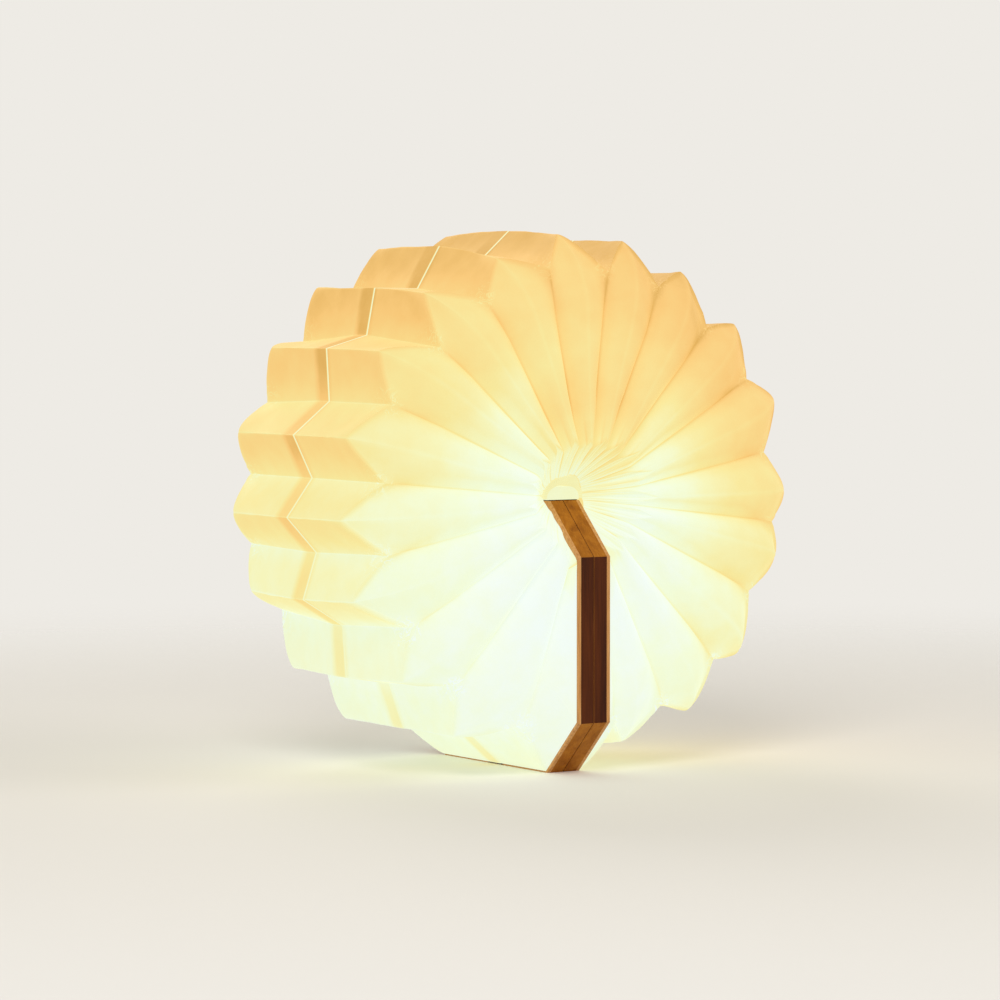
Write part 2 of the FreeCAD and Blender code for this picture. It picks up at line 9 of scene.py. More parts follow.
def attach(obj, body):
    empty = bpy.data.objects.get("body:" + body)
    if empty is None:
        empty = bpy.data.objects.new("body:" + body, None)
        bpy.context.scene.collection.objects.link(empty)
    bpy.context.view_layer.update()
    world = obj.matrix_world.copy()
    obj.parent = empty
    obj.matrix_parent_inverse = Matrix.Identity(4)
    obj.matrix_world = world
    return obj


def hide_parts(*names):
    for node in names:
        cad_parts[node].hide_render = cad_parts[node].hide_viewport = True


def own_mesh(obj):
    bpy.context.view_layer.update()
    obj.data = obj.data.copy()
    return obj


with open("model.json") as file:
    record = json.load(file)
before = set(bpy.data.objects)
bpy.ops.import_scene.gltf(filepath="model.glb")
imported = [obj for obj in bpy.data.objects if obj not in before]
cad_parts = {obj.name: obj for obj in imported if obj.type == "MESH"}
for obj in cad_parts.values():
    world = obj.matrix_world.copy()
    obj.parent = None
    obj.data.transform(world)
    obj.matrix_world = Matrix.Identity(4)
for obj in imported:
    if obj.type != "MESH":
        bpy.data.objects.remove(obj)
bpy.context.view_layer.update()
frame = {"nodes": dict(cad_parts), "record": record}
print("frame loaded:", len(frame["nodes"]), "nodes")


# small helpers

def linear(hexCode):   # sRGB hex to the linear colour that shaders work in
    channels = [int(hexCode[i:i + 2], 16) / 255 for i in (1, 3, 5)]
    bent = [c / 12.92 if c <= 0.04045 else ((c + 0.055) / 1.055) ** 2.4 for c in channels]
    return (*bent, 1.0)


def addNode(tree, kind, links=None, values=None, stops=(), into=None, **settings):
    # stops are a ramp's colours, and into is the socket that the node's first output feeds
    node = tree.nodes.new(kind)
    for name, value in settings.items():
        setattr(node, name, value)
    for socket, value in (values or {}).items():
        node.inputs[socket].default_value = value
    for socket, source in (links or {}).items():
        tree.links.new(source, node.inputs[socket])
    if stops:
        elements = node.color_ramp.elements
        while len(elements) < len(stops):
            elements.new(0.5)
        for element, (position, hexCode) in zip(elements, stops):
            element.position = position
            element.color = linear(hexCode)
    if into is not None:
        tree.links.new(node.outputs[0], into)
    return node


def newMaterial(name, **sockets):   # a Principled surface with its plain sockets filled in
    material = bpy.data.materials.new(name)
    material.use_nodes = True
    shader = material.node_tree.nodes["Principled BSDF"]
    for socket, value in sockets.items():
        shader.inputs[socket.replace("_", " ")].default_value = value
    return material, material.node_tree, shader


def finishPiece(bm, name, material, body, node=None):
    sharpAngle = 28          # degrees: creases and cut edges stay crisp, petals smooth
    mesh = bpy.data.meshes.new(name)
    bm.to_mesh(mesh)
    bm.free()
    for face in mesh.polygons:
        face.use_smooth = True
    mesh.set_sharp_from_angle(angle=math.radians(sharpAngle))
    mesh.materials.append(material)
    piece = bpy.data.objects.new(name, mesh)
    bpy.context.collection.objects.link(piece)
    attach(piece, body)
    if node:
        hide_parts(node)
    return piece


# material of the paper

litPaperLook = {
    "lapped": "#d9a64b",     # two sheets thick
    "tan": "#f6c572",
    "amber": "#f7d988",
    "cream": "#f5e99c",
    "pale": "#f3f7be",
    "bright": "#efffdf",
    "white": "#eeffff",      # next to the light bars
    "body": "#6f5f42",
    "strength": 0.86,
    "fibre": 0.0012,         # spun-bonded strands drawn about three times their real width, so they show
    "cloud": 0.014,          # patches where the strands lie thicker
    "crumpleHighlight": 0.007,          # spacing of the small creases in crumpled spots, whose lines are painted as highlights
}


def makeLitPaper(name):
    # white spun-bonded sheet lit from behind: soft and milky, with strands, patches and crumpled spots whose
    # crease lines carry a painted highlight
    look = litPaperLook
    material, tree, shader = newMaterial(name, Roughness=0.7, Specular_IOR_Level=0.25,
                                         Base_Color=linear(look["body"]), Emission_Strength=look["strength"])
    point = addNode(tree, "ShaderNodeTexCoord").outputs["Object"]
    strands = addNode(tree, "ShaderNodeTexNoise", {"Vector": point},
                      {"Scale": 1 / look["fibre"], "Detail": 3.0, "Roughness": 0.6, "Distortion": 2.4})
    clouds = addNode(tree, "ShaderNodeTexNoise", {"Vector": point},
                     {"Scale": 1 / look["cloud"], "Detail": 4.0, "Roughness": 0.55})
    crumpleHighlightNoise = addNode(tree, "ShaderNodeTexNoise", {"Vector": point},
                     {"Scale": 1 / look["crumpleHighlight"], "Detail": 2.0, "Distortion": 1.2})
    glow = addNode(tree, "ShaderNodeAttribute", attribute_name="glow")
    crumpleHighlightMask = addNode(tree, "ShaderNodeAttribute", attribute_name="crumpleHighlight")
    offMiddle = addNode(tree, "ShaderNodeMath", {0: crumpleHighlightNoise.outputs["Fac"]}, {1: 0.5}, operation="SUBTRACT")
    distance = addNode(tree, "ShaderNodeMath", {0: offMiddle.outputs[0]}, operation="ABSOLUTE")
    lines = addNode(tree, "ShaderNodeMapRange", {"Value": distance.outputs[0]},
                    {"From Min": 0.0, "From Max": 0.03, "To Min": 1.0, "To Max": 0.0})
    crumpleHighlightLines = addNode(tree, "ShaderNodeMath", {0: lines.outputs[0], 1: crumpleHighlightMask.outputs["Fac"]},
                    operation="MULTIPLY")
    level = addNode(tree, "ShaderNodeMath", {0: strands.outputs["Fac"], 2: glow.outputs["Fac"]},
                    {1: 0.07}, operation="MULTIPLY_ADD")
    level = addNode(tree, "ShaderNodeMath", {0: clouds.outputs["Fac"], 2: level.outputs[0]},
                    {1: 0.13}, operation="MULTIPLY_ADD")
    # painted highlight: the crumple lines brighten the glow here, and they raise the bump below
    level = addNode(tree, "ShaderNodeMath", {0: crumpleHighlightLines.outputs[0], 2: level.outputs[0]},
                    {1: 0.2}, operation="MULTIPLY_ADD")
    level = addNode(tree, "ShaderNodeMath", {0: level.outputs[0]}, {1: 0.1}, operation="SUBTRACT")
    addNode(tree, "ShaderNodeValToRGB", {"Fac": level.outputs[0]}, into=shader.inputs["Emission Color"], stops=[
        (0.0, look["lapped"]), (0.17, look["tan"]), (0.36, look["amber"]), (0.54, look["cream"]),
        (0.72, look["pale"]), (0.87, look["bright"]), (1.0, look["white"])])
    height = addNode(tree, "ShaderNodeMath", {0: crumpleHighlightLines.outputs[0], 2: strands.outputs["Fac"]},
                     {1: 4.0}, operation="MULTIPLY_ADD")
    addNode(tree, "ShaderNodeBump", {"Height": height.outputs[0]}, {"Strength": 0.6, "Distance": 0.00006},
            into=shader.inputs["Normal"])
    return material


litPaper = makeLitPaper("spunBondedPaperLit")


# the pleated wheel

wheel = {                    # metres; the covers' outline sets most of it
    "hub": 0.1717,
    "rim": 0.167,
    "face": 0.095,
    "ridgeCorner": 0.066,    # depth of the ridges' rim corners
    "shoulder": (0.151, 0.0935),   # pull point of the ridge's curve from its corner to the face
    "shoulderEnd": 0.118,
    "lap": 0.007,            # half of the overlap of the two half-sheets
    "ridgeEnd": 0.0145,
    "valleyRim": 0.1495,
    "valleyCorner": (0.1430, 0.083),
    "valleyShoulder": 0.113,
    "valleyDepth": 0.086,
    "valleyEnd": 0.032,
    "dishTop": 0.0027,       # the dish round the hub follows the covers' corner cut
    "dishOut": 0.0335,
    "dishAlong": 0.035,
    "fade": 0.0036,
    "coverFace": 0.0119,     # the liners' faces either side of the middle
    "clear": 0.0002,
    "paper": 0.0002,
    "leftRidges": [-150, -131.5, -111.5, -93.5, -76, -56, -38.5, -20, -2],
    "rightRidges": [15, 32.5, 50, 69, 89.5, 104.5, 127, 145.5, 164.5],
    "rows": [8, 16, 22, 30, 14],   # lap, rim panel, shoulder, face and dish
    "columns": 16,           # from ridge to valley
    "roundness": 2.5,        # 1 gives a sharp ridge, more a fuller one
    "cornerRoundness": 1.35,
    "closed": 0.012,
    # hand folding: millimetres by which each ridge's rim corner is lower, and nearer the viewer
    "ridgeSlack": [(0, 0), (2.5, 5), (3.5, -6), (4.5, -3), (0.5, 3), (1.5, 1.5), (4, -5), (9, 3), (2.5, -3.5),
                   (1, -3.5), (0, -6), (0, -1), (1.5, 5), (4.5, 5.5), (1.5, -1.5), (0, -3), (0.5, -3.5), (6, -4)],
    # the same for the valleys' corners, further out and nearer the viewer
    "valleySlack": [(0, 0), (0, 0), (0.5, -1.5), (-0.5, -1.5), (0, 0), (5, -4), (-4, -1), (-2.5, -2), (2.5, 5.5),
                    (-1.5, 4), (1, -2), (-2, 1), (1.5, 0), (-1, -2), (2, 1), (-1.5, -1), (1, 0), (0, 1), (0, 0)],
}

lightBar = {"x": 0.0145, "z": 0.1097, "half": 0.058}


def polar(angle, radius, depth):   # angles run clockwise from straight up, seen from the front
    turn = math.radians(angle)
    return Vector((radius * math.sin(turn), depth, wheel["hub"] + radius * math.cos(turn)))


def between(a, b, share):
    return a + (b - a) * share


def smoothStep(low, high, value):
    share = min(1.0, max(0.0, (value - low) / (high - low)))
    return share * share * (3 - 2 * share)


def innerEnd(angle):
    if abs(angle) <= 90:
        return wheel["ridgeEnd"]
    return max(wheel["ridgeEnd"], (wheel["coverFace"] + wheel["clear"]) / abs(math.sin(math.radians(angle))))


def dishStart(angle):
    reach = wheel["coverFace"] + wheel["clear"]
    if abs(angle) <= 90:
        return wheel["dishTop"] + reach * abs(math.sin(math.radians(angle)))
    return wheel["dishTop"] + reach * math.tan(math.radians(180 - abs(angle)) / 2)


def dishDepth(angle, radius):
    return wheel["face"] - wheel["dishAlong"] * max(0.0, 1 - (radius - dishStart(angle)) / wheel["dishOut"])


def slackAt(values, count, isFar):   # the far half-sheet is folded by hand too, with other faults
    if isFar:
        lower, nearer = values[(count + 5) % len(values)]
        return lower * 0.0005, nearer * 0.0005
    return values[count][0] * 0.001, values[count][1] * 0.001


def ridgePoint(count, part, share, grow):   # part counts the stretches of wheel["rows"]
    angle = ridges[count]
    lower, nearer = slackAt(wheel["ridgeSlack"], count, grow > 0)
    corner = wheel["ridgeCorner"] + nearer
    rim = wheel["rim"] + grow
    face = wheel["face"] + grow
    last = innerEnd(angle)
    dishEdge = max(dishStart(angle) + wheel["dishOut"], last + wheel["fade"])
    if part == 0:
        return polar(angle, rim, between(wheel["lap"], -wheel["lap"], share ** 2))
    if part == 1:
        return polar(angle, rim - lower * share ** 1.5, -between(wheel["lap"], corner, share))
    if part == 2:
        pull = wheel["shoulder"]
        first, second, third = (1 - share) ** 2, 2 * share * (1 - share), share ** 2
        radius = first * (rim - lower) + second * (pull[0] + grow - lower) + third * wheel["shoulderEnd"]
        return polar(angle, radius, -(first * corner + second * (pull[1] + grow) + third * face))
    if part == 3:
        return polar(angle, between(wheel["shoulderEnd"], dishEdge, share), -face)
    radius = between(dishEdge, last, share)
    return polar(angle, radius, -(dishDepth(angle, radius) + grow))


def edgePoint(side, last, part, share, grow):   # the cover's outline, just inside its edges
    edge = wheel["hub"] - 0.001 + grow
    corner = wheel["face"] - wheel["dishAlong"]
    shoulderEnd = wheel["hub"] - 0.001 - wheel["dishOut"]
    dishEdge = max(wheel["dishTop"] + wheel["dishOut"], last + wheel["fade"])
    depths = {0: between(wheel["lap"], -wheel["lap"], share ** 2), 1: -between(wheel["lap"], corner, share),
              2: -between(corner, wheel["face"] + grow, share)}
    radii = {2: between(edge, shoulderEnd, share), 3: between(shoulderEnd, dishEdge, share),
             4: between(dishEdge, last, share)}
    radius = radii.get(part, edge)
    depth = depths.get(part, -(dishDepth(180, radius) + grow))
    return Vector((side * (wheel["coverFace"] + wheel["paper"]), depth, wheel["hub"] - radius))


def valleyPoint(count, part, share, grow):
    angle = valleys[count]
    outer, nearer = slackAt(wheel["valleySlack"], count, grow > 0)
    rim = wheel["valleyRim"] + grow
    corner, depth = wheel["valleyCorner"][0] + outer, wheel["valleyCorner"][1] + nearer
    last = innerEnd(angle)
    faceEnd = max(wheel["valleyEnd"], last + wheel["fade"])
    if part == 0:
        return polar(angle, rim, between(wheel["lap"], -wheel["lap"], share ** 2))
    if part == 1:
        return polar(angle, between(rim, corner + grow, share), -between(wheel["lap"], depth + grow, share))
    if part == 2:
        deep = between(depth, wheel["valleyDepth"], share)
        return polar(angle, between(corner + grow, wheel["valleyShoulder"], share), -(deep + grow))
    if part == 3:
        radius = between(wheel["valleyShoulder"], faceEnd, share)
        return polar(angle, radius, -(min(wheel["valleyDepth"], dishDepth(angle, radius)) + grow))
    radius = between(faceEnd, last, share)
    start = min(wheel["valleyDepth"], dishDepth(angle, faceEnd))
    return polar(angle, radius, -(between(start, dishDepth(angle, last), share) + grow))


def stretchAt(row):          # which stretch of the sheet a row of the grid is in, and how far along
    for part, count in enumerate(wheel["rows"]):
        if row <= count:
            return part, row / count
        row -= count
    return len(wheel["rows"]) - 1, 1.0


def roundnessAt(part, share):     # sharp creases on the rim, soft petals on the faces
    full, corner = wheel["roundness"], wheel["cornerRoundness"]
    if part < 2:
        return between(1.0, corner, smoothStep(0.6, 1.0, share)) if part else 1.0
    if part == 2:
        return between(corner, full, smoothStep(0, 0.7, share))
    return full if part == 3 else between(full, 1.3, share)


def outwardAt(angle, part, share):
    tilt = {0: 0.0, 1: 0.0, 2: between(0.5, 1.0, share) * math.pi / 2}.get(part, math.pi / 2)
    turn = math.radians(angle)
    return Vector((math.sin(turn) * math.cos(tilt), -math.sin(tilt), math.cos(turn) * math.cos(tilt)))


def leafGrid(rows, columns):
    bm = bmesh.new()
    bmesh.ops.create_grid(bm, x_segments=columns, y_segments=rows, size=1)
    return bm


def placeLeaf(vert, ridge, valley, outward, reach, power):   # ridge to valley, swelling between them
    drop = (ridge - valley).dot(outward)
    vert.co = ridge.lerp(valley, reach) + outward * drop * (reach - reach ** power)


def hubEdge(angle, grow):     # the sheet's inner end: round the spine, and straight along the covers
    last = innerEnd(angle)
    return polar(angle, last, -(dishDepth(angle, last) + grow))


def paperHalf(count, grow):   # the near half-sheet of one pleat
    rows = sum(wheel["rows"])
    bm = leafGrid(rows, 2 * wheel["columns"])
    fold = bm.verts.layers.float.new("fold")
    along = bm.verts.layers.float.new("along")
    for vert in bm.verts:
        across = vert.co.x
        part, share = stretchAt(round((1 - vert.co.y) / 2 * rows))
        reach = 0.5 - 0.5 * math.cos(math.pi * abs(across))     # columns lie closer by both creases
        side = count + (across > 0)
        ridge = ridgePoint(count, part, share, grow)
        valley = valleyPoint(side, part, share, grow)
        placeLeaf(vert, ridge, valley, outwardAt(ridges[count], part, share), reach, roundnessAt(part, share))
        if part == 4:
            start = ridgePoint(count, 4, 1.0, grow).lerp(valleyPoint(side, 4, 1.0, grow), reach)
            vert.co += (hubEdge(between(ridges[count], valleys[side], reach), grow) - start) * share ** 2
        vert[fold] = math.copysign(reach, across)
        vert[along] = part + share
    bm.normal_update()
    return bm


def endHalf(side, count, grow):   # from the glued flange over the cover's edge to the first valley
    rows = sum(wheel["rows"])
    columns = wheel["columns"] + 1
    bm = leafGrid(rows, columns)
    fold = bm.verts.layers.float.new("fold")
    along = bm.verts.layers.float.new("along")
    for vert in bm.verts:
        column = round((1 - side * vert.co.x) / 2 * columns)    # 0 is the flange's inner edge
        part, share = stretchAt(round((1 - vert.co.y) / 2 * rows))
        edge = edgePoint(side, innerEnd(valleys[count]), part, share, grow)
        vert[along] = part + share
        if column == 0:
            inward = {0: 0.0, 1: 0.0, 2: share * math.pi / 2}.get(part, math.pi / 2)
            vert.co = edge + Vector((-side * wheel["paper"], math.sin(inward), math.cos(inward))) * 0.008
            vert.co.x = edge.x
            continue
        reach = 0.5 - 0.5 * math.cos(math.pi * (column - 1) / wheel["columns"])
        hollow = valleyPoint(count, part, share, grow)
        placeLeaf(vert, edge, hollow, outwardAt(180, part, share), reach, roundnessAt(part, share))
        vert[fold] = -side * reach
    bm.normal_update()
    return bm


def thicken(bm, wall, gathered=False):   # the second face, moved straight back so that sharp folds don't spike
    way = bm.verts.layers.float_vector.new("way")
    bm.normal_update()
    for vert in bm.verts:
        radius = math.hypot(vert.co.x, vert.co.z - wheel["hub"])
        vert[way] = vert.normal * wall * (min(1.0, radius / 0.06) if gathered else 1.0)
    back = bmesh.ops.extrude_face_region(bm, geom=bm.faces[:], use_keep_orig=True)["geom"]
    for part in back:
        if isinstance(part, bmesh.types.BMVert):
            part.co -= part[way]
    bmesh.ops.recalc_face_normals(bm, faces=bm.faces[:])
    bm.verts.layers.float_vector.remove(way)


def crease(bm, seed, glued):   # soft wrinkles, sharp crumples by the valley corners, a star round the hub, and a mask of the crumpled spots for their painted highlight lines
    fold = bm.verts.layers.float["fold"]
    along = bm.verts.layers.float["along"]
    crumpleHighlight = bm.verts.layers.float.new("crumpleHighlight")
    moves = []
    for vert in bm.verts:
        reach, place = abs(vert[fold]), vert[along]
        radius = math.hypot(vert.co.x, vert.co.z - wheel["hub"])
        hold = (1 - reach ** 8) * smoothStep(1.05, 1.4, place)
        if glued:
            hold *= smoothStep(0.02, 0.3, reach)
        loose = smoothStep(0.0125, 0.020, abs(vert.co.x)) if vert.co.z < wheel["hub"] else 1.0
        soft = noise.fractal(vert.co / 0.034 + Vector((seed, 0, 0)), 0.9, 2.1, 3) * 0.0007
        atCorner = math.exp(-((place - 2.0) / 0.22) ** 2) * smoothStep(0.5, 0.95, reach)
        sharp = noise.fractal(vert.co / 0.006 + Vector((0, seed, 0)), 0.9, 2.1, 2) * 0.0007 * atCorner
        groove = math.exp(-((reach - 0.5) / 0.09) ** 2)      # one more fold in each leaf, near the hub
        gathered = 0 if glued else (1 - smoothStep(0.022, 0.050, radius)) * 0.0007
        # mask of the crumpled spots: it sets the bump there and the painted highlight lines in the paper's shader
        vert[crumpleHighlight] = min(1.0, atCorner * 1.2)
        moves.append((vert, vert.normal * ((soft + sharp) * hold - groove * gathered) * loose))
    for vert, move in moves:
        vert.co += move
    bm.normal_update()


glowLook = {
    "base": 1.69, "fall": 6.75,      # brightness next to a light bar, and its loss per metre
    "facing": 0.30,          # leaves square to the light are brighter
    "right": 0.28,           # the far side from the brighter bar
    "hubShade": 0.34,        # the spine keeps the light off the paper straight above it
    "rim": 0.14,
    "rimLine": 0.12,         # bright fine line on a sharp crease
    "valley": 0.17,
    "lap": 0.24,
    "cutEdge": 0.80,
}


def glowAt(point, normal):   # how much of the light bars' light reaches the back of the sheet there
    look = glowLook
    side = 1 if point.x > 0 else -1
    lamp = Vector((side * lightBar["x"], min(lightBar["half"], max(-lightBar["half"], point.y)), lightBar["z"]))
    way = point - lamp
    level = look["base"] - look["fall"] * way.length - look["right"] * smoothStep(-0.03, 0.10, point.x)
    level += look["facing"] * (abs(way.normalized().dot(normal)) - 0.5)
    if way.z > 0:
        radius = math.hypot(point.x, point.z - wheel["hub"])
        level -= look["hubShade"] * (1 - smoothStep(0.1, 0.4, abs(way.x) / way.z)) \
            * (1 - smoothStep(0.055, 0.105, radius))
    return level


def setGlow(bm, isFar):
    look = glowLook
    fold = bm.verts.layers.float["fold"]
    along = bm.verts.layers.float["along"]
    glow = bm.verts.layers.float.new("glow")
    for vert in bm.verts:
        reach, place = abs(vert[fold]), vert[along]
        radius = math.hypot(vert.co.x, vert.co.z - wheel["hub"])
        level = glowAt(vert.co, vert.normal)
        if place > 2:
            onFace = smoothStep(2.0, 2.3, place)
            near = 1 - smoothStep(0.030, 0.060, radius)
            fine = look["valley"] * (1.6 - smoothStep(0.05, 0.12, radius)) * smoothStep(0.93, 1.0, reach)
            level -= (fine + 0.4 * look["valley"] * smoothStep(0.6, 1.0, reach)) * onFace
            level += 0.04 * (1 - smoothStep(0.0, 0.15, reach))
            level -= 0.12 * near * math.exp(-((reach - 0.5) / 0.06) ** 2)
            level += 0.07 * near * math.exp(-((reach - 0.62) / 0.08) ** 2)
        else:
            level -= look["rim"] + 0.05 * math.sin(math.pi * reach)
            level += look["rimLine"] * (1 - smoothStep(0.0, 0.02, reach) + smoothStep(0.985, 1.0, reach))
        y = vert.co.y
        if place < 2:
            level -= look["lap"] * (smoothStep(-0.0071, -0.0069, y) - smoothStep(0.0055, 0.0085, y))
            if isFar:
                level = max(level, look["cutEdge"] * (1 - smoothStep(-0.0062, -0.0056, y)))
        if level > 0.8:
            level = 0.8 + 0.21 * (1 - math.exp((0.8 - level) / 0.33))
        vert[glow] = max(0.03, level)


def joinBoth(near, far):          # both half-sheets in one mesh
    mesh = bpy.data.meshes.new("half")
    far.to_mesh(mesh)
    near.from_mesh(mesh)
    far.free()
    bpy.data.meshes.remove(mesh)


def pleatMesh(makeHalf, seed, glued=False):
    halves = []
    for isFar, grow in ((False, 0.0), (True, wheel["paper"])):
        bm = makeHalf(grow)
        crease(bm, seed + 50 * isFar, glued)
        if isFar:
            bmesh.ops.scale(bm, vec=(1, -1, 1), verts=bm.verts)
            bmesh.ops.reverse_faces(bm, faces=bm.faces)
            bm.normal_update()
        setGlow(bm, isFar)
        thicken(bm, wheel["paper"], gathered=True)
        halves.append(bm)
    joinBoth(*halves)
    return halves[0]


def coverAngle(side):
    return side * (180 - math.degrees(math.asin(wheel["coverFace"] / wheel["rim"])))


ridges = wheel["leftRidges"] + wheel["rightRidges"]
stops = [coverAngle(-1)] + ridges + [coverAngle(1)]
valleys = [(a + b) / 2 for a, b in zip(stops, stops[1:])]

for count, angle in enumerate(ridges):
    number = "%02d" % (count + 1)
    bm = pleatMesh(lambda grow: paperHalf(count, grow), 17.0 * count)
    pleat = finishPiece(bm, "paperPleat" + number, litPaper, "fold_" + number, "pleat_" + number)
    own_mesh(pleat)
print("pleats made:", len(ridges))

for side, name in ((-1, "left"), (1, "right")):
    count = 0 if side < 0 else len(ridges)
    bm = pleatMesh(lambda grow: endHalf(side, count, grow), 400.0 + side, glued=True)
    piece = finishPiece(bm, name + "PaperEnd", litPaper, name + "_side", name + "_end_pleat")
    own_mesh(piece)
print("end leaves made")


# the paper over the spine

gather = {"radius": 0.0144, "tip": (0.0124, 0.0082), "tipDepth": 0.0612, "spread": 92, "columns": 150,
          "deep": 0.0005, "wall": 0.0003, "closed": 0.24}


def foldAt(angle):           # where an angle lies in its pleat: 0 on the ridge, 1 on a valley
    for count, ridge in enumerate(ridges):
        low, high = valleys[count], valleys[count + 1]
        if low <= angle <= high:
            return (ridge - angle) / (ridge - low) if angle < ridge else (angle - ridge) / (high - ridge)
    return 1.0


def makeGather():
    bm = leafGrid(30, gather["columns"])
    glow = bm.verts.layers.float.new("glow")
    crumpleHighlight = bm.verts.layers.float.new("crumpleHighlight")
    for vert in bm.verts:
        angle = vert.co.x * gather["spread"]
        along = vert.co.y * 1.5            # within 1 is the arch, beyond it the two dished ends
        wave = 0.5 + 0.5 * math.cos(4 * math.pi * foldAt(angle))
        outer = max(dishDepth(angle, gather["radius"]), gather["tipDepth"])
        radius, depth = gather["radius"], along * outer
        if abs(along) > 1:
            share = (abs(along) - 1) / 0.5
            turn = math.radians(angle)
            tip = 1 / math.hypot(math.sin(turn) / gather["tip"][0], math.cos(turn) / gather["tip"][1])
            radius = between(gather["radius"], tip, share)
            depth = math.copysign(between(outer, gather["tipDepth"], share), along)
        radius -= gather["deep"] * wave * radius / gather["radius"]
        vert.co = polar(angle, radius, depth)
        vert[glow] = 0.74 - 0.12 * wave
        vert[crumpleHighlight] = 0.0
    thicken(bm, gather["wall"])
    return bm


piece = finishPiece(makeGather(), "paperGather", litPaper, "spine", "hub_gather")
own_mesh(piece)

web = {"half": 0.0118, "low": 0.17055, "top": 0.1787, "long": 0.0606, "corner": 0.0065, "wall": 0.0005,
       "closed": 0.3}


def makeWeb():
    bm = bmesh.new()
    bmesh.ops.create_cube(bm, size=1)
    bmesh.ops.scale(bm, vec=(2 * web["half"], 2 * web["long"], web["top"] - web["low"]), verts=bm.verts)
    bmesh.ops.translate(bm, vec=(0, 0, (web["top"] + web["low"]) / 2), verts=bm.verts)
    ridgeEdges = [e for e in bm.edges if all(v.co.z > web["low"] + 0.001 for v in e.verts)
                  and abs(e.verts[0].co.y - e.verts[1].co.y) > 0.01]
    bmesh.ops.bevel(bm, geom=ridgeEdges, offset=web["corner"], affect="EDGES", segments=8, profile=0.5,
                    material=-1)
    under = [f for f in bm.faces if f.normal.z < -0.9]
    bmesh.ops.delete(bm, geom=under, context="FACES")
    runs = [e for e in bm.edges if abs(e.verts[0].co.y - e.verts[1].co.y) > web["long"]]
    bmesh.ops.subdivide_edges(bm, edges=runs, cuts=40, use_grid_fill=True)
    glow = bm.verts.layers.float.new("glow")
    for vert in bm.verts:
        vert[glow] = 0.80
    thicken(bm, web["wall"])
    return bm


piece = finishPiece(makeWeb(), "paperWeb", litPaper, "spine", "spine_web")
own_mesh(piece)
print("spine paper made")


# the flat cable over the spine, in the three parts that move with their neighbours

ribbon = {"half": 0.0098, "wide": 0.005, "thick": 0.0003, "bridge": 0.1730, "legTop": 0.1700, "legEnd": 0.16015}


def makeStrap(low, high):
    bm = bmesh.new()
    bmesh.ops.create_cube(bm, size=1)
    size = Vector(high) - Vector(low)
    bmesh.ops.scale(bm, vec=size, verts=bm.verts)
    bmesh.ops.translate(bm, vec=Vector(low) + size / 2, verts=bm.verts)
    bmesh.ops.bevel(bm, geom=bm.edges[:], offset=0.00008, affect="EDGES", segments=2, profile=0.5, material=-1)
    return bm


def makeRibbon(material):
    half, thick, top = ribbon["half"], ribbon["thick"], ribbon["bridge"]
    wide = ribbon["wide"] / 2
    bridge = makeStrap((-half, -wide, top), (half, wide, top + thick))
    piece = finishPiece(bridge, "ribbonBridge", material, "spine", "spine_ribbon")
    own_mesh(piece)
    for side, name in ((-1, "left"), (1, "right")):
        inner, outer = sorted((side * half, side * (half - thick)))
        leg = makeStrap((inner, -wide, ribbon["legEnd"]), (outer, wide, ribbon["legTop"]))
        finishPiece(leg, name + "RibbonLeg", material, name + "_side", None)


# wood and the other materials on the CAD's own pieces

walnutLook = {               # dark to pale, for the cut corners painted paler as if lit by the paper's glow, the covers' broad faces, and the end grain painted darker as shade
    "glowLitCut": [(0.42, "#80460a"), (0.58, "#96580f"), (0.72, "#a86616"), (0.88, "#b57622")],
    "face": [(0.42, "#3d1d08"), (0.58, "#5c3212"), (0.72, "#75451c"), (0.88, "#875429")],
    "shadedEnd": [(0.42, "#220a01"), (0.58, "#371503"), (0.72, "#4a1f05"), (0.88, "#5a2909")],
    "rings": 0.009,          # width of a growth band
    "pores": 0.0008,         # about twice the real pores, so they show
}


